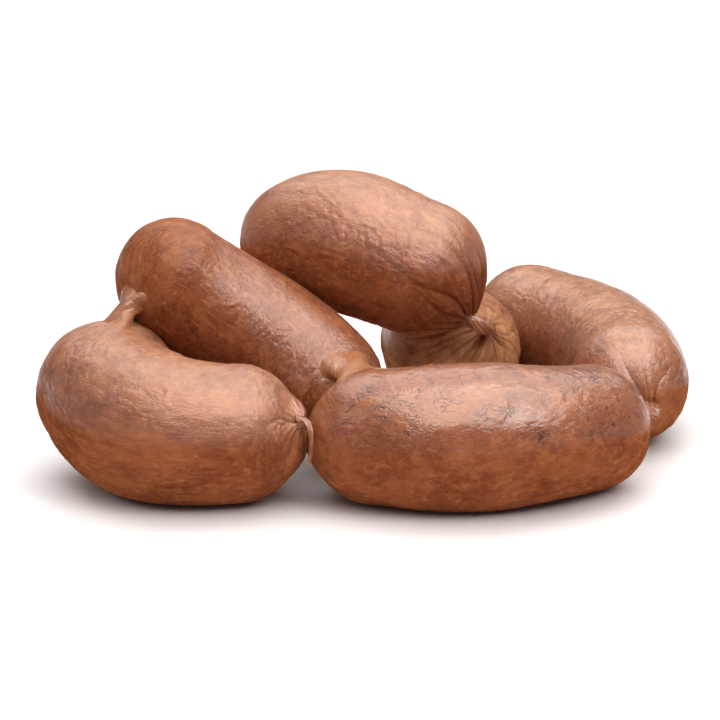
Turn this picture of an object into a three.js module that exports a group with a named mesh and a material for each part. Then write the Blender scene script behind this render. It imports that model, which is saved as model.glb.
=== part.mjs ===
import * as THREE from "three";

// A string of six plump sausage links in one natural casing, lying in a loose heap.
// Sizes are in millimetres. It rests on a flat surface at z = 0, with its front towards -y.

// The middle of the heap from above, which becomes the origin.
const HEAP_MIDDLE = [2.4, 68.1];

// One entry for each link, in the order of the string.
// diameters: at the first end, at the middle and at the last end.
// line: the control points of its centre line, which runs between the middles of its round ends.
// tips: a point that each end leans towards, where the casing is twisted shut.
// necks: the radius of the casing where it leaves each end.
// pulls: how far each end is drawn out to its tip, and the angle from the tip, in degrees, where that starts.
// folds: the depth of the folds that run to each tip.
const LINKS = {
  link_front_left: {
    diameters: [36.8, 40.4, 38.6],
    line: [[-32, 14, 18], [-55, 8.2, 18.7], [-62.2, 28, 19.8], [-66, 35.6, 22.4]],
    tips: [[-15.5, 6.5, 23.5], [-62.6, 38.3, 41.2]],
    necks: [1.6, 3.6],
    pulls: [[1.5, 34], [0.6, 34]],
    folds: [1.2, 0.8],
  },
  link_leaning: {
    diameters: [32, 32.8, 31.5],
    line: [[-49.4, 52, 49.6], [-37.6, 55, 40.3], [-17, 51.5, 29], [-9.5, 43.5, 23]],
    tips: [[-60, 40.8, 45.4], [-2.6, 31.3, 30.3]],
    necks: [3.6, 4.3],
    pulls: [[0.6, 34], [1.4, 42]],
    folds: [0.8, 0.7],
  },
  link_front_right: {
    diameters: [35.5, 38.5, 33.5],
    line: [[4.5, 13, 17.5], [16, 7, 18.5], [42, 6, 19], [59, 24, 16.5]],
    tips: [[0, 25.5, 29.2], [76, 35, 17]],
    necks: [4.3, 3],
    pulls: [[1.2, 40], [1.8, 34]],
    folds: [0.7, 1.3],
  },
  link_right: {
    diameters: [33.5, 35.5, 33.5],
    line: [[73, 64, 17], [74, 84, 17], [68, 106, 17], [50, 128, 17]],
    tips: [[78, 46, 14], [38, 146, 16]],
    necks: [3, 2.5],
    pulls: [[1.8, 34], [1.8, 34]],
    folds: [1.3, 1.3],
  },
  link_under: {
    diameters: [29, 36, 38],
    line: [[20, 116, 15], [23, 107, 16], [25, 98, 18], [26, 89, 19]],
    tips: [[28, 136, 15], [35, 75, 29]],
    necks: [2.5, 2.7],
    pulls: [[1.8, 34], [1.8, 34]],
    folds: [1.3, 1.3],
  },
  link_top: {
    diameters: [37.5, 39.2, 35.5],
    line: [[16, 66.3, 48.3], [3.6, 71.3, 52.2], [-7, 76.5, 57], [-15.5, 82, 51.6]],
    tips: [[29, 63, 35], [-24.5, 96, 54]],
    necks: [2.7, 2],
    pulls: [[2.4, 40], [1.8, 34]],
    folds: [2.0, 1.3],
  },
};

// The twisted casing between one link's last end and the next link's first end.
// reach: how far it runs straight out of each end. waist: its radius half way.
// flat: how wide and how thick its section is, against a round one.
const TWISTS = {
  twist_left: { links: ["link_front_left", "link_leaning"], reach: 2.6, waist: 3, flat: [1.2, 0.9] },
  twist_middle: { links: ["link_leaning", "link_front_right"], reach: 2.6, waist: 3.8, flat: [1.4, 0.8] },
  twist_right: { links: ["link_front_right", "link_right"], reach: 6, waist: 2.2, flat: [1, 1] },
  twist_back: { links: ["link_right", "link_under"], reach: 7, waist: 1.9, flat: [1, 1] },
  twist_top: { links: ["link_under", "link_top"], reach: 6, waist: 2.1, flat: [1, 1] },
};

// The loose end of the casing at each end of the string.
// route: the last two control points of its line. thickness: its radius at the free end.
const TAILS = {
  tail_front: { link: "link_front_left", end: 0, reach: 3, route: [[-11.5, 2, 22], [-13, 3, 13]], thickness: 0.9 },
  tail_back: { link: "link_top", end: 1, reach: 3, route: [[-27.5, 102, 53], [-27, 101, 46]], thickness: 0.9 },
};

// How finely each form is faceted.
const SIDES = 28;
const CAP_RINGS = 6;
const BODY_STEPS = 9;
const NECK_SIDES = 12;
const NECK_STEPS = 8;

// Relief of the casing: folds that run to each tip, and the uneven filling under it.
const FOLDS = 7;
const FOLD_END_ANGLE = THREE.MathUtils.degToRad(62);
const LUMP_DEPTH = 0.5;
const RIGHT_ANGLE = Math.PI / 2;

// A twist's section has rounded lobes that turn along its length.
const LOBES = 3;
const LOBE_DEPTH = 0.16;
const TWIST_TURNS = 0.5;

// The space kept between pieces that touch, and how closely a link is followed to keep it.
const GAP = 0.3;
const LINK_STEPS = 24;

const SAUSAGE_COLOUR = 0x9a5230;
const CASING_COLOUR = 0xb98a6c;

const UP = new THREE.Vector3(0, 0, 1);
const group = new THREE.Group();
group.position.set(-HEAP_MIDDLE[0], -HEAP_MIDDLE[1], 0);

const sausage = new THREE.MeshStandardMaterial({ color: SAUSAGE_COLOUR, roughness: 0.42, metalness: 0 });
const casing = new THREE.MeshStandardMaterial({ color: CASING_COLOUR, roughness: 0.45, metalness: 0 });

function vector(xyz) {
  return new THREE.Vector3(...xyz);
}

function centreLine(link) {
  return new THREE.CubicBezierCurve3(...link.line.map(vector));
}

// Radius of a link at a share of the way along its centre line.
function bodyRadius(link, share) {
  const [first, middle, last] = link.diameters;
  const straight = THREE.MathUtils.lerp(first, last, share);
  const bulge = Math.sin(Math.PI * share) ** 1.5 * (middle - (first + last) / 2);
  return (straight + bulge) / 2;
}

// A level and an upright direction across a line that runs along tangent.
function crossDirections(tangent) {
  const upright = UP.clone().addScaledVector(tangent, -UP.dot(tangent)).normalize();
  const level = new THREE.Vector3().crossVectors(upright, tangent);
  return { level, upright };
}

function sideways(tangent, turn) {
  const { level, upright } = crossDirections(tangent);
  return level.multiplyScalar(Math.cos(turn)).addScaledVector(upright, Math.sin(turn));
}

// A round end of a link: the middle of its ball, the way it faces and where its tip points.
function roundEnd(link, end) {
  const curve = centreLine(link);
  const tangent = curve.getTangent(end);
  const centre = curve.getPoint(end);
  const outward = tangent.clone().multiplyScalar(end === 0 ? -1 : 1);
  const tip = vector(link.tips[end]).sub(centre).normalize();
  const [pull, pullDegrees] = link.pulls[end];
  return {
    centre, tangent, outward, tip, pull,
    pullAngle: THREE.MathUtils.degToRad(pullDegrees),
    radius: link.diameters[end * 2] / 2,
    neck: link.necks[end],
    fold: link.folds[end],
  };
}

// How far the uneven filling lets the casing sink in at a point.
function sinkAt({ x, y, z }) {
  const wave = Math.sin(x / 7 + y / 11) + Math.sin(y / 8 - z / 9 + 2) + Math.sin(z / 6 + x / 13 + 4);
  return LUMP_DEPTH * (0.5 + wave / 6);
}

// How far a fold is drawn in at an angle from the tip.
function foldDepth(end, angle, turn) {
  const fade = Math.max(0, 1 - angle / FOLD_END_ANGLE);
  return end.fold * fade * (0.5 - 0.5 * Math.cos(FOLDS * turn));
}

// How far the end is drawn out towards its tip.
function drawnOut(end, angle) {
  return end.pull * Math.max(0, 1 - angle / end.pullAngle) ** 2;
}

// The surface lies flat where it rests on the ground.
function settle(point) {
  point.z = Math.max(point.z, 0);
  return point;
}

function surfacePoint(centre, direction, radius) {
  const smooth = centre.clone().addScaledVector(direction, radius);
  return settle(smooth.addScaledVector(direction, -sinkAt(smooth)));
}

// The direction from the middle of a round end to its surface, leaning towards its tip.
function capDirection(end, angle, turn) {
  const direction = end.outward.clone().multiplyScalar(Math.cos(angle));
  direction.addScaledVector(sideways(end.tangent, turn), Math.sin(angle));
  const hinge = new THREE.Vector3().crossVectors(end.outward, end.tip).normalize();
  const lean = end.outward.angleTo(end.tip) * (1 - angle / RIGHT_ANGLE);
  return direction.applyAxisAngle(hinge, lean);
}

function capRing(end, angle) {
  return turns(SIDES).map((turn) => {
    const radius = end.radius + drawnOut(end, angle) - foldDepth(end, angle, turn);
    return surfacePoint(end.centre, capDirection(end, angle, turn), radius);
  });
}

function bodyRing(link, share) {
  const curve = centreLine(link);
  const centre = curve.getPoint(share);
  const tangent = curve.getTangent(share);
  const radius = bodyRadius(link, share);
  return turns(SIDES).map((turn) => surfacePoint(centre, sideways(tangent, turn), radius));
}

function turns(count) {
  return Array.from({ length: count }, (_, i) => (2 * Math.PI * i) / count);
}

function shares(steps) {
  return Array.from({ length: steps + 1 }, (_, i) => i / steps);
}

// Angles from the tip to where a round end meets the body.
function capAngles(end) {
  const start = Math.asin(end.neck / end.radius);
  return shares(CAP_RINGS).slice(0, -1).map((share) => THREE.MathUtils.lerp(start, RIGHT_ANGLE, share));
}

function tipPoint(end) {
  const start = Math.asin(end.neck / end.radius);
  const height = (end.radius + drawnOut(end, start)) * Math.cos(start);
  return end.centre.clone().addScaledVector(end.tip, height);
}

// A closed surface through a row of rings, with a flat face at each end.
function closedSurface(rings) {
  const sides = rings[0].length;
  const middles = [rings[0], rings[rings.length - 1]].map((ring) => {
    const sum = ring.reduce((total, point) => total.add(point), new THREE.Vector3());
    return sum.divideScalar(sides);
  });
  const points = [...rings.flat(), ...middles];
  const firstMiddle = rings.length * sides;
  const lastRow = (rings.length - 1) * sides;
  const faces = [];
  for (let side = 0; side < sides; side += 1) {
    const next = (side + 1) % sides;
    faces.push(firstMiddle, next, side);
    faces.push(firstMiddle + 1, lastRow + side, lastRow + next);
    for (let row = 0; row < lastRow; row += sides) {
      faces.push(row + side, row + next, row + sides + next);
      faces.push(row + side, row + sides + next, row + sides + side);
    }
  }
  const geometry = new THREE.BufferGeometry();
  geometry.setAttribute("position", new THREE.Float32BufferAttribute(points.flatMap((p) => p.toArray()), 3));
  geometry.setIndex(faces);
  geometry.computeVertexNormals();
  return geometry;
}

function linkGeometry(link) {
  const first = roundEnd(link, 0);
  const last = roundEnd(link, 1);
  return closedSurface([
    ...capAngles(first).map((angle) => capRing(first, angle)),
    ...shares(BODY_STEPS).map((share) => bodyRing(link, share)),
    ...capAngles(last).reverse().map((angle) => capRing(last, angle)),
  ]);
}

// Moves a point out of every link that it would touch.
function clearOfLinks(point) {
  for (const link of Object.values(LINKS)) {
    const curve = centreLine(link);
    for (const share of shares(LINK_STEPS)) {
      const away = point.clone().sub(curve.getPoint(share));
      const reach = bodyRadius(link, share) + GAP;
      if (away.length() < reach) {
        point.add(away.clone().setLength(reach - away.length()));
      }
    }
  }
  return point;
}

// Twisted casing along a line. radiusAt gives its radius at a share of the way, and flat how wide
// and how thick it is half way. Its rings are carried along the line without turning about it.
function twistedGeometry(curve, flat, radiusAt) {
  const forwards = curve.getTangent(0);
  const rings = shares(NECK_STEPS).map((share) => {
    const bend = new THREE.Quaternion().setFromUnitVectors(forwards, curve.getTangent(share));
    const { level, upright } = crossDirections(forwards);
    const [wide, thick] = flat.map((factor) => THREE.MathUtils.lerp(1, factor, Math.sin(Math.PI * share)));
    level.applyQuaternion(bend).multiplyScalar(wide * radiusAt(share));
    upright.applyQuaternion(bend).multiplyScalar(thick * radiusAt(share));
    return turns(NECK_SIDES).map((turn) => {
      const lobe = 1 - LOBE_DEPTH * (1 - Math.cos(LOBES * (turn - 2 * Math.PI * TWIST_TURNS * share)));
      const point = curve.getPoint(share).addScaledVector(level, lobe * Math.cos(turn));
      return settle(clearOfLinks(point.addScaledVector(upright, lobe * Math.sin(turn))));
    });
  });
  return closedSurface(rings);
}

function outOf(end, distance) {
  return tipPoint(end).addScaledVector(end.tip, distance);
}

function twistGeometry({ links, reach, waist, flat }) {
  const start = roundEnd(LINKS[links[0]], 1);
  const finish = roundEnd(LINKS[links[1]], 0);
  const curve = new THREE.CubicBezierCurve3(
    outOf(start, GAP), outOf(start, reach), outOf(finish, reach), outOf(finish, GAP));
  const radiusAt = (share) => {
    const edge = THREE.MathUtils.lerp(start.neck, finish.neck, share);
    return THREE.MathUtils.lerp(edge, waist, Math.sin(Math.PI * share));
  };
  return twistedGeometry(curve, flat, radiusAt);
}

function tailGeometry({ link, end, reach, route, thickness }) {
  const root = roundEnd(LINKS[link], end);
  const curve = new THREE.CubicBezierCurve3(outOf(root, GAP), outOf(root, reach), ...route.map(vector));
  return twistedGeometry(curve, [1, 1], (share) => THREE.MathUtils.lerp(root.neck, thickness, share));
}

function addMesh(name, geometry, material) {
  const mesh = new THREE.Mesh(geometry, material);
  mesh.name = name;
  group.add(mesh);
}

for (const [name, link] of Object.entries(LINKS)) {
  addMesh(name, linkGeometry(link), sausage);
}
for (const [name, twist] of Object.entries(TWISTS)) {
  addMesh(name, twistGeometry(twist), casing);
}
for (const [name, tail] of Object.entries(TAILS)) {
  addMesh(name, tailGeometry(tail), casing);
}

export default group;
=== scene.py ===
import math

import bpy
import numpy as np
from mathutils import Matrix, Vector


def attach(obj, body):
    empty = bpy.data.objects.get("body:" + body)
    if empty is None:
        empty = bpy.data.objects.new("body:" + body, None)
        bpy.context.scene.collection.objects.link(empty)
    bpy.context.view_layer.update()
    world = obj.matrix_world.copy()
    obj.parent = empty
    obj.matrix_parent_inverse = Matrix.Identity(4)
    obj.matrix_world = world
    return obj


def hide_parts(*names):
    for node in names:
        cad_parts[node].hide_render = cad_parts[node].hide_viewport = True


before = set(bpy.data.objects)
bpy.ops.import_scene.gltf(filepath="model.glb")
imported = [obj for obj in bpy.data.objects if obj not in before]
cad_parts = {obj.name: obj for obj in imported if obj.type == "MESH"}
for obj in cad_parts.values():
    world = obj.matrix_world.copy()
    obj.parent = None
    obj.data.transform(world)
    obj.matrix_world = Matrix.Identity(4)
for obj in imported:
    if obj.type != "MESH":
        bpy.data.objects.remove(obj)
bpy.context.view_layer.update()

# Sizes are in millimetres up to the making of a mesh, and the links are laid out as the solids are.
MM = 0.001
HEAP_MIDDLE = np.array([2.4, 68.1, 0.0])
UP = np.array([0.0, 0.0, 1.0])
RIGHT_ANGLE = math.pi / 2

# diameters: at the first end, the middle and the last end. line: the centre line's control points.
# tips: the point that each end leans towards. necks: the casing's radius where it leaves each end.
# pulls: how far each end is drawn out, and the angle from the tip, in degrees, where that starts.
# folds: the depth of the broad folds at each end.
# creases: how many fine creases run to each tip, the depth of the deepest, and how far they reach.
# small_folds: how many are scattered over the skin.
# pale: how pale the skin is round each tip, and how far that reaches. painted_top_light: how much paler the
# skin is painted where it faces up, as painted light on the tops.
# dents: how uneven the filling is. wrinkle: how crinkled the skin is.
# cracks: how strong the dark cracks are. streaks: how strong the pale lengthwise streaks are.
# dry: how dry the skin is round each tip. coat: how moist the rest is.
# coat_roughness and roughness: how soft the gloss is, of the moisture and of the skin.
# Reaches are angles from the tip, in radians.
LINKS = {
    "link_front_left": dict(
        diameters=[36.8, 40.4, 38.6],
        line=[[-32, 14, 18], [-55, 8.2, 18.7], [-62.2, 28, 19.8], [-66, 35.6, 22.4]],
        tips=[[-15.5, 6.5, 23.5], [-62.6, 38.3, 41.2]], necks=[1.6, 3.6],
        pulls=[[1.5, 34], [0.6, 34]], folds=[1.2, 0.8],
        creases=[(20, 0.8, 1.2), (12, 0.7, 0.9)], small_folds=80,
        pale=[(0.35, 0.8), (0.5, 1.0)], painted_top_light=0.5, dents=1.0, wrinkle=1.0,
        cracks=0.25, streaks=0.35, dry=[0, 0], coat=1.0,
        coat_roughness=0.37, roughness=0.52),
    "link_leaning": dict(
        diameters=[32, 32.8, 31.5],
        line=[[-49.4, 52, 49.6], [-37.6, 55, 40.3], [-17, 51.5, 29], [-9.5, 43.5, 23]],
        tips=[[-60, 40.8, 45.4], [-2.6, 31.3, 30.3]], necks=[3.6, 4.3],
        pulls=[[0.6, 34], [1.4, 42]], folds=[0.8, 0.7],
        creases=[(10, 0.5, 0.8), (9, 0.5, 0.8)], small_folds=34,
        pale=[(0.2, 0.6), (0.5, 0.9)], painted_top_light=0.15, dents=0.6, wrinkle=0.55,
        cracks=0.5, streaks=0.8, dry=[0.85, 0], coat=0.72,
        coat_roughness=0.19, roughness=0.42),
    "link_front_right": dict(
        diameters=[35.5, 38.5, 33.5],
        line=[[4.5, 13, 17.5], [16, 7, 18.5], [42, 6, 19], [59, 24, 16.5]],
        tips=[[0, 25.5, 29.2], [76, 35, 17]], necks=[4.3, 3],
        pulls=[[1.2, 40], [1.8, 34]], folds=[0.7, 1.3],
        creases=[(8, 0.4, 0.7), (16, 0.9, 1.0)], small_folds=50,
        pale=[(0.85, 1.0), (0.5, 0.8)], painted_top_light=0.2, dents=0.35, wrinkle=0.6,
        cracks=1.0, streaks=0.1, dry=[0, 0], coat=0.95,
        coat_roughness=0.14, roughness=0.42),
    "link_right": dict(
        diameters=[33.5, 35.5, 33.5],
        line=[[73, 64, 17], [74, 84, 17], [68, 106, 17], [50, 128, 17]],
        tips=[[78, 46, 14], [38, 146, 16]], necks=[3, 2.5],
        pulls=[[1.8, 34], [1.8, 34]], folds=[1.3, 1.3],
        creases=[(12, 0.8, 1.0), (16, 0.9, 1.0)], small_folds=60,
        pale=[(0.35, 0.8), (0.4, 0.8)], painted_top_light=0.7, dents=0.6, wrinkle=0.7,
        cracks=0.3, streaks=0.3, dry=[0, 0], coat=1.0,
        coat_roughness=0.24, roughness=0.46),
    "link_under": dict(
        diameters=[29, 36, 38],
        line=[[20, 116, 15], [23, 107, 16], [25, 98, 18], [26, 89, 19]],
        tips=[[28, 136, 15], [35, 75, 29]], necks=[2.5, 2.7],
        pulls=[[1.8, 34], [1.8, 34]], folds=[1.3, 1.3],
        creases=[(16, 0.9, 1.0), (24, 1.0, 1.7)], small_folds=40,
        # The paleness round its last tip is partly the casing's own tan and partly painted light, on an end
        # that lies in shade.
        pale=[(0.4, 0.8), (1.0, 2.4)], painted_top_light=0.5, dents=0.8, wrinkle=0.7,
        cracks=0.2, streaks=0.1, dry=[0, 0.8], coat=0.9,
        coat_roughness=0.30, roughness=0.48),
    "link_top": dict(
        diameters=[37.5, 39.2, 35.5],
        line=[[16, 66.3, 48.3], [3.6, 71.3, 52.2], [-7, 76.5, 57], [-15.5, 82, 51.6]],
        tips=[[29, 63, 35], [-24.5, 96, 54]], necks=[2.7, 2],
        pulls=[[2.4, 40], [1.8, 34]], folds=[2.0, 1.3],
        creases=[(22, 1.6, 1.7), (16, 0.9, 1.0)], small_folds=80,
        pale=[(0.15, 0.7), (0.4, 0.8)], painted_top_light=0.55, dents=0.9, wrinkle=0.9,
        cracks=0.2, streaks=0.35, dry=[0, 0], coat=1.0,
        coat_roughness=0.37, roughness=0.52),
}

# The twisted casing between one link's last end and the next link's first end.
# reach: how far it is led straight out of each tip. waist: its radius half way.
# flat: how wide and how thick its section is half way. strands: how deep its twisted strands are.
# spread: how far its skin reaches over each link, in degrees round the link's end.
TWISTS = {
    "twist_left": dict(links=["link_front_left", "link_leaning"], reach=2.6, waist=3, flat=[1.2, 0.9],
                       strands=0.25, spread=15),
    "twist_middle": dict(links=["link_leaning", "link_front_right"], reach=2.6, waist=3.8, flat=[1.4, 0.8],
                         strands=0.1, spread=20),
    "twist_right": dict(links=["link_front_right", "link_right"], reach=6, waist=2.2, flat=[1, 1],
                        strands=1, spread=8),
    "twist_back": dict(links=["link_right", "link_under"], reach=7, waist=1.9, flat=[1, 1],
                       strands=1, spread=8),
    "twist_top": dict(links=["link_under", "link_top"], reach=6, waist=2.1, flat=[1, 1],
                      strands=1, spread=8),
}

# The loose end of the casing at each end of the string.
# reach: how far it is led straight out of the tip. route: its last two control points.
# thickness: its radius.
TAILS = {
    "tail_front": dict(link="link_front_left", end=0, reach=3, route=[[-11.5, 2, 22], [-13, 3, 13]],
                       thickness=0.75),
    "tail_back": dict(link="link_top", end=1, reach=3, route=[[-27.5, 102, 53], [-27, 101, 46]],
                      thickness=0.75),
}

# How finely each form is meshed.
SIDES = 280
CAP_ROWS = 40
BODY_ROWS = 150
NECK_SIDES = 64
NECK_ROWS = 60

# Relief shared with the solids.
FOLDS = 7
FOLD_END_ANGLE = math.radians(62)
LUMP_DEPTH = 0.5
LOBES = 3
LOBE_DEPTH = 0.16
TWIST_TURNS = 0.5
GAP = 0.3

# Relief in the scene alone.
# Links that press on each other swell there, and their skin lies a little outside the solids'.
SWELLING = 1.15
SWELLING_REACH = 7
FULLNESS = 0.15
TIP_RELIEF_FADE = 0.35

# The skin of a twist starts below the link's own, and narrows over a few times its spread.
FOOT_SINK = 1.7
FOOT_LENGTH = 2.6
TAIL_FOOT_SPREAD = 0.6
TAIL_FOOT_LENGTH = 1.5

# Angles from a tip, in radians: where the skin round a dry tip is moist again, and one that is far off.
DRY_REACH = 2.8
FAR_OFF = 9.0

# Twists with strands shallower than this have the links' own skin.
FULL_SKIN_STRANDS = 0.5

# The pattern of each piece is cut from its own part of the noise.
PATTERN_STEP = 100.0

# The camera. The width of a pixel at the middle of the heap sets the lens.
IMAGE_WIDTH = 720
PIXEL = 0.26
VIEW_DISTANCE = 800.0
VIEW_ELEVATION = math.radians(16)
VIEW_TARGET = np.array([0.0, 30.0, 33.0]) - HEAP_MIDDLE
SENSOR_WIDTH = 36.0


def unit(vector):
    return vector / np.linalg.norm(vector, axis=-1, keepdims=True)


# Smooth noise

class Noise:
    """Gradient noise from -1 to 1, the same on every run for one seed."""

    TABLE = 256

    def __init__(self, seed):
        rng = np.random.default_rng(seed)
        self.order = rng.permutation(self.TABLE)
        self.gradients = unit(rng.normal(size=(self.TABLE, 3)))

    def __call__(self, points, cell):
        scaled = points / cell
        corner = np.floor(scaled).astype(int)
        inside = scaled - corner
        blend = inside * inside * inside * (inside * (inside * 6 - 15) + 10)
        total = np.zeros(points.shape[:-1])
        for offset in np.ndindex(2, 2, 2):
            place = (corner + offset) % self.TABLE
            index = self.order[place[..., 0]]
            index = self.order[(index + place[..., 1]) % self.TABLE]
            index = self.order[(index + place[..., 2]) % self.TABLE]
            slope = (self.gradients[index] * (inside - offset)).sum(-1)
            weight = np.where(offset, blend, 1 - blend).prod(-1)
            total += slope * weight
        return 1.6 * total

    def layered(self, points, cell, layers):
        return sum(self(points, cell / 2**i) / 2**i for i in range(layers))


# The forms

def bezier(control, share):
    control = np.asarray(control, float)
    t = np.asarray(share, float)[..., None]
    weights = [(1 - t)**3, 3 * (1 - t)**2 * t, 3 * (1 - t) * t * t, t**3]
    point = sum(w * c for w, c in zip(weights, control))
    legs = np.diff(control, axis=0)
    slopes = [(1 - t)**2, 2 * (1 - t) * t, t * t]
    return point, unit(sum(w * leg for w, leg in zip(slopes, legs)))


def sideways(tangent, turn):
    """Directions across a line, for rows of tangents and all turns round it."""
    upright = unit(UP - (tangent @ UP)[..., None] * tangent)
    level = np.cross(upright, tangent)
    turn = np.asarray(turn)[:, None]
    return level[..., None, :] * np.cos(turn) + upright[..., None, :] * np.sin(turn)


def body_radius(link, share):
    first, middle, last = link["diameters"]
    bulge = np.sin(np.pi * share).clip(0)**1.5 * (middle - (first + last) / 2)
    return (first + (last - first) * share + bulge) / 2


def round_end(link, end):
    centre, tangent = bezier(link["line"], float(end))
    tip = unit(np.array(link["tips"][end], float) - centre)
    pull, pull_degrees = link["pulls"][end]
    return dict(centre=centre, tangent=tangent, outward=tangent * (2 * end - 1), tip=tip, pull=pull,
                pull_angle=math.radians(pull_degrees), radius=link["diameters"][end * 2] / 2,
                neck=link["necks"][end])


def drawn_out(end, angle):
    return end["pull"] * (1 - angle / end["pull_angle"]).clip(0)**2


def turned(direction, hinge, lean):
    """Directions turned about a hinge, each row by its own angle."""
    lean = lean[:, None, None]
    along = (direction @ hinge)[..., None] * hinge
    across = np.cross(hinge, direction)
    return along + (direction - along) * np.cos(lean) + across * np.sin(lean)


def cap_directions(end, angle, turn):
    across = sideways(end["tangent"], turn)
    direction = end["outward"] * np.cos(angle)[:, None, None] + across * np.sin(angle)[:, None, None]
    hinge = unit(np.cross(end["outward"], end["tip"]))
    lean = math.acos(end["outward"] @ end["tip"]) * (1 - angle / RIGHT_ANGLE)
    return turned(direction, hinge, lean)


def tip_point(end):
    start = math.asin(end["neck"] / end["radius"])
    height = (end["radius"] + drawn_out(end, np.array(start))) * math.cos(start)
    return end["centre"] + end["tip"] * height


def sink_at(point):
    x, y, z = np.moveaxis(point, -1, 0)
    wave = np.sin(x / 7 + y / 11) + np.sin(y / 8 - z / 9 + 2) + np.sin(z / 6 + x / 13 + 4)
    return LUMP_DEPTH * (0.5 + wave / 6)


def settle(point):
    point[..., 2] = point[..., 2].clip(0)
    return point


def link_rows(link, turn):
    """Rows of a link from tip to tip: middles, directions, radii, unbent places and tip distances."""
    ends = [round_end(link, end) for end in (0, 1)]
    share = np.linspace(0, 1, BODY_ROWS)
    middle, tangent = bezier(link["line"], share)
    length = np.linalg.norm(np.diff(middle, axis=0), axis=1).cumsum()
    along = np.concatenate([[0], length])
    rows = []
    for number, end in enumerate(ends):
        start = math.asin(end["neck"] / end["radius"])
        angle = np.linspace(start, RIGHT_ANGLE, CAP_ROWS, endpoint=False)
        angle = angle if number == 0 else angle[::-1]
        side = 2 * number - 1
        rows.append(dict(
            middle=np.repeat(end["centre"][None], CAP_ROWS, 0),
            direction=cap_directions(end, angle, turn),
            radius=end["radius"] + drawn_out(end, angle),
            ring=end["radius"] * np.sin(angle),
            along=(along[-1] if number else 0) + side * end["radius"] * np.cos(angle),
            angles=[angle if number == end_number else np.full(CAP_ROWS, FAR_OFF) for end_number in (0, 1)]))
    radius = body_radius(link, share)
    far = [RIGHT_ANGLE + along / ends[0]["radius"], RIGHT_ANGLE + (along[-1] - along) / ends[1]["radius"]]
    body = dict(middle=middle, direction=sideways(tangent, turn), radius=radius, ring=radius,
                along=along, angles=far)
    parts = [rows[0], body, rows[1]]
    merged = {key: np.concatenate([part[key] for part in parts])
              for key in ("middle", "direction", "radius", "ring", "along")}
    merged["angles"] = [np.concatenate([part["angles"][end] for part in parts]) for end in (0, 1)]
    return merged


def crease_depth(angle, turn, radius, creases, rng):
    """Sharp irregular creases that run to a tip and fade away from it."""
    count, deepest, reach = creases
    depth = np.zeros((len(angle), len(turn)))
    start = 2 * np.pi * rng.random()
    for number in range(count):
        place = start + 2 * np.pi * (number + rng.uniform(-0.45, 0.45)) / count
        strength = deepest * rng.uniform(0.2, 1.0)
        length = reach * rng.uniform(0.45, 1.1)
        width = rng.uniform(0.22, 0.55)
        wander = 0.09 * np.sin(angle * rng.uniform(3, 6) + rng.uniform(0, 6))
        offset = (turn[None] - place - wander[:, None] + np.pi) % (2 * np.pi) - np.pi
        apart = np.abs(offset) * radius * np.sin(angle.clip(0, RIGHT_ANGLE))[:, None]
        fade = (1 - angle / length).clip(0)[:, None]**0.8
        depth = np.maximum(depth, strength * fade * np.exp(-apart / (width * (1 + angle[:, None]))))
    return depth


def fold_depth(angle, turn, deepest):
    fade = (1 - angle / FOLD_END_ANGLE).clip(0)[:, None]
    return deepest * fade * (0.5 - 0.5 * np.cos(FOLDS * turn))[None]


def straightened(along, radius, turn):
    """Places on a piece as if its line were straight, which all its patterns are drawn on."""
    across = radius * np.cos(turn)
    along = np.broadcast_to(along[:, None], across.shape)
    return np.stack([along, across, radius * np.sin(turn)], -1)


def crinkles(skin, noise):
    """Depth of the narrow valleys between small soft bumps, from 0 to 1."""
    bend = np.stack([noise(skin + shift, 5.0) for shift in (0, 30, 60)], -1)
    bumps = np.abs(noise.layered((skin + 1.6 * bend) * [0.7, 1, 1] + 40, 3.2, 3))
    return (1 - bumps / 0.36).clip(0)


def swelling(points, link):
    """How far a link bulges beside the links that it is squeezed against."""
    height = np.zeros(points.shape[:-1])
    share = np.linspace(0, 1, 25)
    for other in LINKS.values():
        if other is not link:
            middle, _ = bezier(other["line"], share)
            for centre, radius in zip(middle, body_radius(other, share)):
                gap = np.linalg.norm(points - centre, axis=-1) - radius
                height = np.maximum(height, SWELLING * (1 - gap / SWELLING_REACH).clip(0, 1))
    return height


def wetness(rise):
    """The skin is moist where it faces up, and dry below."""
    moist = (rise / 0.35).clip(0, 1)
    return moist * moist * (3 - 2 * moist)


def small_fold_height(rows, turn, count, rng):
    """Short curved folds scattered over the skin, each raised along one side and sunk along the other."""
    height = np.zeros((len(rows["along"]), len(turn)))
    for _ in range(count):
        middle = rng.uniform(rows["along"][0], rows["along"][-1])
        place, way = rng.uniform(0, 2 * np.pi), rng.uniform(0, np.pi)
        length, width = rng.uniform(1.5, 5.0), rng.uniform(0.30, 0.55)
        bend, strength = rng.uniform(-0.10, 0.10), rng.uniform(0.05, 0.24)
        forward = (rows["along"] - middle)[:, None]
        around = ((turn - place + np.pi) % (2 * np.pi) - np.pi)[None] * rows["ring"][:, None]
        lengthwise = forward * math.cos(way) + around * math.sin(way)
        across = around * math.cos(way) - forward * math.sin(way) - bend * lengthwise**2
        fade = np.exp(-(lengthwise / length)**4)
        height += strength * fade * (0.4 + across / width) * np.exp(-(across / width)**2 / 2)
    return height


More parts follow.
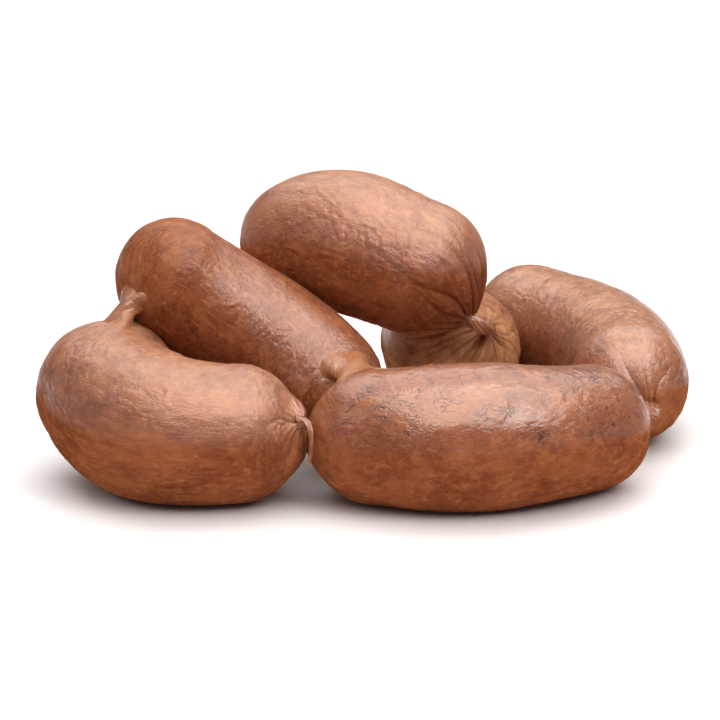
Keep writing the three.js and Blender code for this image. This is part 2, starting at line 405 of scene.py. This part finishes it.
def link_surface(link, seed):
    rng = np.random.default_rng(seed)
    noise = Noise(seed)
    turn = np.arange(SIDES) * 2 * np.pi / SIDES
    rows = link_rows(link, turn)
    ring = rows["ring"][:, None]
    skin = straightened(rows["along"], ring, turn)
    near_tip = np.exp(-np.minimum(*rows["angles"]) / TIP_RELIEF_FADE)[:, None]
    creases = np.zeros(ring.shape)
    folds = np.zeros(ring.shape)
    pale = np.zeros(skin.shape[:2])
    moist = np.ones(ring.shape)
    for end in (0, 1):
        angle = rows["angles"][end]
        radius = link["diameters"][end * 2] / 2
        creases = np.maximum(creases, crease_depth(angle, turn, radius, link["creases"][end], rng))
        folds = folds + fold_depth(angle, turn, link["folds"][end])
        strength, reach = link["pale"][end]
        pale = np.maximum(pale, strength * (1.3 * (1 - angle / reach)).clip(0, 1)[:, None])
        moist = moist * (1 - link["dry"][end] * (1.4 * (1 - angle / DRY_REACH)).clip(0, 1)[:, None])
    patches = link["wrinkle"] * (0.70 + noise(skin, 19.0)).clip(0.35, 1)
    dents = 0.30 * (noise(skin, 9.0) + 0.4).clip(0) + 0.10 * (noise(skin, 4.5) + 0.3).clip(0)
    valleys = crinkles(skin, noise)
    ripples = noise.layered(skin + 80, 1.9, 2)
    height = small_fold_height(rows, turn, link["small_folds"], rng)
    fine = patches * (0.20 * valleys + 0.06 * ripples + 0.04) - height
    smooth = rows["middle"][:, None] + rows["direction"] * (rows["radius"][:, None] - 0.6 * folds)[..., None]
    relief = sink_at(smooth) + creases + (link["dents"] * dents + fine) * (1 - 0.7 * near_tip) - FULLNESS
    relief = relief - swelling(smooth, link)
    points = settle(smooth - rows["direction"] * relief[..., None])
    # Painted shade: the skin is darkened in the creases, in the valleys between crinkles and along the sunk
    # side of each small fold.
    valley = np.maximum(creases / 0.8, patches * valleys * 0.6 - 2.5 * height).clip(0, 1)
    rise = rows["direction"][..., 2]
    # Painted light: the skin is painted paler where it faces up, as if lit from above.
    pale = np.maximum(pale, link["painted_top_light"] * (2.2 * (rise - 0.45)).clip(0, 1))
    return points, skin + seed * PATTERN_STEP, dict(valley=valley, pale=pale, wet=wetness(rise) * moist)


def carried(start, tangent, direction):
    """A direction across the start of a line, carried along it without turning about it."""
    hinge = np.cross(start, tangent)
    lean = 1 / (1 + tangent @ start)[:, None]
    return (direction * (tangent @ start)[:, None] + np.cross(hinge, direction)
            + hinge * (hinge @ direction)[:, None] * lean)


def twisted_surface(control, flat, radius_at, foot_at, strands, seed):
    """Casing gathered and twisted along a line, with strands that run round it."""
    noise = Noise(seed)
    share = np.linspace(0, 1, NECK_ROWS)
    middle, tangent = bezier(control, share)
    length = np.linalg.norm(np.diff(middle, axis=0), axis=1).cumsum()
    along = np.concatenate([[0], length])
    turn = np.arange(NECK_SIDES) * 2 * np.pi / NECK_SIDES
    spin = turn[None] - 2 * np.pi * TWIST_TURNS * share[:, None]
    lobe = 1 - LOBE_DEPTH * min(strands + 0.4, 1) * (1 - np.cos(LOBES * spin))
    strand = strands * (0.10 * np.abs(np.sin(4.5 * spin + 0.8)) + 0.05 * np.abs(np.sin(7.5 * spin)))
    radius = radius_at(share)[:, None] * (lobe - strand) + foot_at(along)[:, None]
    skin = straightened(along, radius, spin)
    radius = radius + 0.12 * noise.layered(skin, 1.8, 2)
    upright = unit(UP - (tangent[0] @ UP) * tangent[0])
    across = [carried(tangent[0], tangent, way) for way in (np.cross(upright, tangent[0]), upright)]
    widths = [1 + (factor - 1) * np.sin(np.pi * share)[:, None, None] for factor in flat]
    turn = turn[None, :, None]
    direction = (across[0][:, None] * widths[0] * np.cos(turn)
                 + across[1][:, None] * widths[1] * np.sin(turn))
    points = settle(middle[:, None] + direction * radius[..., None])
    # Painted shade: the skin is darkened in the grooves between the twisted strands.
    valley = (strand * 6).clip(0, 1)
    amounts = dict(valley=valley, pale=np.full(valley.shape, 0.6), wet=wetness(direction[..., 2]))
    return points, skin + seed * PATTERN_STEP, amounts


# Meshes

def add_mesh(name, points, skin, amounts, material, node):
    rows, sides = points.shape[:2]
    grid = np.arange(rows * sides).reshape(rows, sides)
    along = np.roll(grid, -1, axis=1)
    quads = np.stack([grid[:-1], along[:-1], along[1:], grid[1:]], -1).reshape(-1, 4)
    corners = (points.reshape(-1, 3) - HEAP_MIDDLE) * MM
    mesh = bpy.data.meshes.new(name)
    faces = quads.tolist() + [grid[0][::-1].tolist(), grid[-1].tolist()]
    mesh.from_pydata(corners.tolist(), [], faces)
    mesh.shade_smooth()
    place = mesh.attributes.new("skin", "FLOAT_VECTOR", "POINT")
    place.data.foreach_set("vector", skin.reshape(-1).astype(np.float32))
    for key, values in amounts.items():
        amount = mesh.attributes.new(key, "FLOAT", "POINT")
        amount.data.foreach_set("value", values.reshape(-1).astype(np.float32))
    mesh.materials.append(material)
    piece = bpy.data.objects.new(name, mesh)
    bpy.context.scene.collection.objects.link(piece)
    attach(piece, "root")
    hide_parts(node)
    return piece


# Materials

def add_node(tree, kind, inputs=None, **settings):
    node = tree.nodes.new(kind)
    for key, value in settings.items():
        setattr(node, key, value)
    for key, value in (inputs or {}).items():
        if isinstance(value, bpy.types.NodeSocket):
            tree.links.new(value, node.inputs[key])
        else:
            node.inputs[key].default_value = value
    return node


def noise_node(tree, vector, size, detail=3.0, distortion=0.0):
    """Noise whose blobs are about size millimetres across."""
    inputs = {"Vector": vector, "Scale": 1.0 / size, "Detail": detail, "Distortion": distortion}
    return add_node(tree, "ShaderNodeTexNoise", inputs).outputs["Fac"]


def band(tree, value, low, high, top=1.0):
    """0 up to low, rising to top at high."""
    inputs = {"Value": value, "From Min": low, "From Max": high, "To Max": top}
    return add_node(tree, "ShaderNodeMapRange", inputs, interpolation_type="SMOOTHSTEP").outputs["Result"]


def mixed(tree, factor, first, second):
    return add_node(tree, "ShaderNodeMix", {0: factor, 6: first, 7: second}, data_type="RGBA").outputs[2]


def combined(tree, first, second, operation):
    return add_node(tree, "ShaderNodeMath", {0: first, 1: second}, operation=operation).outputs[0]


def product(tree, first, second):
    return combined(tree, first, second, "MULTIPLY")


def stretched(tree, vector, scale):
    return add_node(tree, "ShaderNodeMapping", {"Vector": vector, "Scale": scale}).outputs[0]


def shifted(tree, vector, distance):
    inputs = {0: vector, 1: (distance, distance, distance)}
    return add_node(tree, "ShaderNodeVectorMath", inputs, operation="ADD").outputs[0]


def fine_lines(tree, vector, size, width, distortion=0.0):
    """1 on wandering lines where noise passes its middle value, and 0 beside them."""
    away = combined(tree, noise_node(tree, vector, size, 2.5, distortion), 0.5, "SUBTRACT")
    away = add_node(tree, "ShaderNodeMath", {0: away}, operation="ABSOLUTE").outputs[0]
    return add_node(tree, "ShaderNodeMapRange", {
        "Value": away, "From Min": 0.0, "From Max": width, "To Min": 1.0, "To Max": 0.0}).outputs["Result"]


def patches_of(tree, skin, shift, size, low, high, top, detail=3.0, distortion=0.6):
    """Soft patches about size millimetres across, placed by a shift of the noise."""
    return band(tree, noise_node(tree, shifted(tree, skin, shift), size, detail, distortion), low, high, top)


def amount_of(tree, name):
    return add_node(tree, "ShaderNodeAttribute", attribute_name=name).outputs["Fac"]


def skin_colour(tree, skin, cracks, base, streaks):
    """Meat seen through the casing: soft blotches, spots of fat and spice, and fine grain, with painted
    light on the upward faces and painted shade in the hollows.
    """
    colour = mixed(tree, patches_of(tree, skin, 0.0, 13.0, 0.35, 0.65, 1.0), base["deep"], base["light"])
    colour = mixed(tree, patches_of(tree, skin, 61.0, 9.0, 0.52, 0.72, 0.5), colour, base["plum"])
    # The pale amount is the pale casing round the tips together with painted light on the upward faces.
    tan = product(tree, amount_of(tree, "pale"), patches_of(tree, skin, 5.0, 5.0, 0.20, 0.55, 1.0))
    colour = mixed(tree, tan, colour, base["tan"])
    colour = mixed(tree, patches_of(tree, skin, 17.0, 3.2, 0.48, 0.68, 0.55), colour, base["rust"])
    colour = mixed(tree, patches_of(tree, skin, 31.0, 4.2, 0.50, 0.72, 0.50, 4.0), colour, base["dark"])
    colour = mixed(tree, patches_of(tree, skin, 41.0, 2.0, 0.54, 0.72, 0.40, 4.0), colour, base["pale"])
    colour = mixed(tree, patches_of(tree, skin, 47.0, 1.1, 0.60, 0.76, 0.45, 3.0), colour, base["dark"])
    long_skin = stretched(tree, skin, (0.16, 1.0, 1.0))
    streak = patches_of(tree, long_skin, 3.0, 1.1, 0.55, 0.72, streaks, 4.0)
    colour = mixed(tree, streak, colour, base["pale"])
    colour = mixed(tree, patches_of(tree, skin, 0.0, 0.6, 0.45, 0.75, 0.25, 4.0), colour, base["pale"])
    # Painted shade in the creases and hollows.
    colour = mixed(tree, product(tree, amount_of(tree, "valley"), 0.75), colour, base["dark"])
    return mixed(tree, product(tree, cracks, 0.9), colour, base["crack"])


def crack_lines(tree, skin, strength):
    """Short dark branching cracks and specks in the skin, in patches."""
    lines = combined(tree, fine_lines(tree, skin, 6.5, 0.015, 0.5),
                     fine_lines(tree, shifted(tree, skin, 9.0), 3.4, 0.018, 0.5), "MAXIMUM")
    broken = patches_of(tree, skin, 23.0, 3.0, 0.46, 0.54, 1.0)
    specks = patches_of(tree, skin, 83.0, 0.9, 0.68, 0.72, 0.9, 2.0)
    exposed = band(tree, amount_of(tree, "wet"), -0.6, 1.0, strength)
    patch = product(tree, patches_of(tree, skin, 71.0, 13.0, 0.44, 0.54, 1.0), exposed)
    return product(tree, combined(tree, product(tree, lines, broken), specks, "MAXIMUM"), patch)


def skin_material(name, base, wrinkle, cracks, streaks, coat, coat_roughness, roughness):
    material = bpy.data.materials.new(name)
    material.use_nodes = True
    tree = material.node_tree
    tree.nodes.clear()
    skin = add_node(tree, "ShaderNodeAttribute", attribute_name="skin").outputs["Vector"]
    lines = crack_lines(tree, skin, cracks)
    colour = skin_colour(tree, skin, lines, base, streaks)
    crinkle = fine_lines(tree, skin, 1.3, 0.10, 0.8)
    patch = patches_of(tree, skin, 53.0, 13.0, 0.25, 0.55, 1.0)
    grain = noise_node(tree, stretched(tree, skin, (0.6, 1.0, 1.0)), 0.6, 4.0)
    height = product(tree, crinkle, product(tree, patch, -0.8 * wrinkle))
    height = combined(tree, height, product(tree, grain, 0.9), "ADD")
    height = combined(tree, height, product(tree, lines, 0.7), "SUBTRACT")
    bump = add_node(tree, "ShaderNodeBump", {"Height": height, "Strength": 0.8, "Distance": 0.20 * MM})
    rough = add_node(tree, "ShaderNodeMapRange", {
        "Value": grain, "From Min": 0.3, "From Max": 0.7,
        "To Min": roughness - 0.06, "To Max": roughness + 0.10}).outputs["Result"]
    wet = amount_of(tree, "wet")
    shader = add_node(tree, "ShaderNodeBsdfPrincipled", {
        "Base Color": colour, "Roughness": rough, "Normal": bump.outputs["Normal"],
        "Specular IOR Level": product(tree, wet, 0.2), "IOR": 1.4, "Coat Weight": product(tree, wet, coat),
        "Coat Roughness": coat_roughness, "Coat IOR": 1.43, "Subsurface Weight": 0.10,
        "Subsurface Radius": (1.0, 0.32, 0.18), "Subsurface Scale": 2.0 * MM})
    gloss = add_node(tree, "ShaderNodeBump", {
        "Height": combined(tree, product(tree, crinkle, product(tree, patch, -0.6 * wrinkle)),
                           product(tree, lines, 0.5), "SUBTRACT"),
        "Strength": 0.5, "Distance": 0.14 * MM})
    tree.links.new(gloss.outputs["Normal"], shader.inputs["Coat Normal"])
    add_node(tree, "ShaderNodeOutputMaterial", {"Surface": shader.outputs[0]})
    return material


def rgb(red, green, blue):
    return (red, green, blue, 1.0)


# The skin's colours: over meat, and where the casing is gathered without meat. dark is also the painted
# shade in hollows, and tan also the painted light on the upward faces.
SAUSAGE = dict(deep=rgb(0.195, 0.051, 0.019), light=rgb(0.285, 0.087, 0.035), rust=rgb(0.335, 0.110, 0.034),
               dark=rgb(0.115, 0.027, 0.013), plum=rgb(0.175, 0.048, 0.026), pale=rgb(0.410, 0.165, 0.075),
               tan=rgb(0.540, 0.255, 0.125), crack=rgb(0.030, 0.009, 0.006))
CASING = dict(deep=rgb(0.290, 0.095, 0.042), light=rgb(0.400, 0.160, 0.080), rust=rgb(0.390, 0.135, 0.055),
              dark=rgb(0.140, 0.036, 0.020), plum=rgb(0.250, 0.090, 0.056), pale=rgb(0.520, 0.270, 0.170),
              tan=rgb(0.480, 0.230, 0.125), crack=rgb(0.070, 0.020, 0.014))

# The values of a link that its material takes.
LOOK = ("wrinkle", "cracks", "streaks", "coat", "coat_roughness", "roughness")


def make_links():
    for seed, (name, link) in enumerate(LINKS.items(), 1):
        material = skin_material(name + "_skin", SAUSAGE, *(link[key] for key in LOOK))
        piece = add_mesh(name + "_meat", *link_surface(link, seed), material, name)


def out_of(end, distance):
    return tip_point(end) + end["tip"] * distance


def foot_of(end, spread):
    """The radius and depth below the tip at which a twist's skin leaves the skin of a link's round
    end, and the length over which it narrows to its neck."""
    angle = math.asin(end["neck"] / end["radius"]) + math.radians(spread)
    reach = end["radius"] + drawn_out(end, np.array(angle))
    radius = reach * math.sin(angle)
    depth = (tip_point(end) - end["centre"]) @ end["tip"] - reach * math.cos(angle)
    return radius, depth + FOOT_SINK, FOOT_LENGTH * (radius - end["neck"]) * math.tan(angle)


def make_twists():
    gathered = skin_material("casing_skin", CASING, 0.5, 0.2, 0.3, 0.9, 0.20, 0.42)
    squeezed = skin_material("squeezed_skin", SAUSAGE, 0.5, 0.3, 0.2, 0.8, 0.20, 0.42)
    for seed, (name, twist) in enumerate(TWISTS.items(), 11):
        start = round_end(LINKS[twist["links"][0]], 1)
        finish = round_end(LINKS[twist["links"][1]], 0)
        feet = [foot_of(end, twist["spread"]) for end in (start, finish)]
        control = [out_of(start, -feet[0][1]), out_of(start, twist["reach"]),
                   out_of(finish, twist["reach"]), out_of(finish, -feet[1][1])]

        def radius_at(share):
            edge = start["neck"] + (finish["neck"] - start["neck"]) * share
            return edge + (twist["waist"] - edge) * np.sin(np.pi * share)

        def foot_at(along):
            spread = np.zeros(along.shape)
            for end, foot, away in zip((start, finish), feet, (along, along[-1] - along)):
                spread = spread + (foot[0] - end["neck"]) * (1 - away / foot[2]).clip(0)**2
            return spread

        surface = twisted_surface(control, twist["flat"], radius_at, foot_at, twist["strands"], seed)
        material = squeezed if twist["strands"] < FULL_SKIN_STRANDS else gathered
        add_mesh(name + "_casing", *surface, material, name)
    for seed, (name, tail) in enumerate(TAILS.items(), 21):
        root = round_end(LINKS[tail["link"]], tail["end"])
        control = [out_of(root, -GAP), out_of(root, tail["reach"]), *tail["route"]]

        def radius_at(share):
            thin = tail["thickness"] * (1.1 - 0.6 * share**3)
            return thin + (root["neck"] - thin) * (1 - share)**4

        def foot_at(along):
            return TAIL_FOOT_SPREAD * (1 - along / TAIL_FOOT_LENGTH).clip(0)**2

        surface = twisted_surface(control, [1, 1], radius_at, foot_at, 1, seed)
        add_mesh(name + "_casing", *surface, gathered, name)


# Stage, light and camera

def make_floor():
    size = 3.0
    corners = [(-size, -size, 0), (size, -size, 0), (size, size, 0), (-size, size, 0)]
    mesh = bpy.data.meshes.new("floor")
    mesh.from_pydata(corners, [], [(0, 1, 2, 3)])
    floor = bpy.data.objects.new("floor", mesh)
    bpy.context.scene.collection.objects.link(floor)
    material = bpy.data.materials.new("floor_white")
    material.use_nodes = True
    shader = material.node_tree.nodes["Principled BSDF"]
    shader.inputs["Base Color"].default_value = rgb(0.82, 0.80, 0.80)
    shader.inputs["Roughness"].default_value = 0.55
    mesh.materials.append(material)


def area_light(name, place, target, size, radiance, colour=(1.0, 1.0, 1.0), sheen_only=False):
    """A softbox of a given radiance that faces a point."""
    data = bpy.data.lights.new(name, "AREA")
    data.shape = "RECTANGLE"
    data.size, data.size_y = size
    data.energy = radiance * math.pi * size[0] * size[1]
    data.color = colour
    light = bpy.data.objects.new(name, data)
    light.location = place
    light.visible_diffuse = not sheen_only
    light.rotation_euler = (Vector(target) - Vector(place)).to_track_quat("-Z", "Y").to_euler()
    bpy.context.scene.collection.objects.link(light)


def make_lights():
    world = bpy.data.worlds.new("studio")
    world.use_nodes = True
    background = world.node_tree.nodes["Background"]
    background.inputs["Color"].default_value = rgb(1.0, 1.0, 1.0)
    background.inputs["Strength"].default_value = 0.18
    bpy.context.scene.world = world
    front = (0.05, -0.26, 0.67)
    middle = (0.0, 0.0, 0.03)
    area_light("key_softbox", front, middle, (0.78, 0.96), 2.45, (1.0, 0.98, 0.96))
    area_light("sheen_softbox", (0.24, -0.26, 0.67), (0.19, 0.0, 0.03), (1.25, 0.94), 6.0,
               (1.0, 0.91, 0.81), sheen_only=True)
    area_light("right_softbox", (0.50, -0.45, 0.60), middle, (0.35, 0.35), 4.5)
    area_light("left_softbox", (-0.70, -0.25, 0.50), middle, (0.40, 0.40), 1.6, (1.0, 0.95, 0.90))
    area_light("back_softbox", (0.0, 0.85, 1.1), (0.0, 0.65, 0.0), (2.2, 1.4), 2.5)


def make_camera():
    towards = np.array([0.0, -math.cos(VIEW_ELEVATION), math.sin(VIEW_ELEVATION)])
    data = bpy.data.cameras.new("camera")
    data.sensor_width = SENSOR_WIDTH
    data.lens = VIEW_DISTANCE / (PIXEL * IMAGE_WIDTH) * SENSOR_WIDTH
    camera = bpy.data.objects.new("camera", data)
    camera.location = Vector((VIEW_TARGET + VIEW_DISTANCE * towards) * MM)
    camera.rotation_euler = Vector(-towards).to_track_quat("-Z", "Y").to_euler()
    bpy.context.scene.collection.objects.link(camera)
    bpy.context.scene.camera = camera


make_camera()
make_floor()
make_lights()
make_links()
make_twists()

bpy.context.scene.view_settings.view_transform = "Standard"
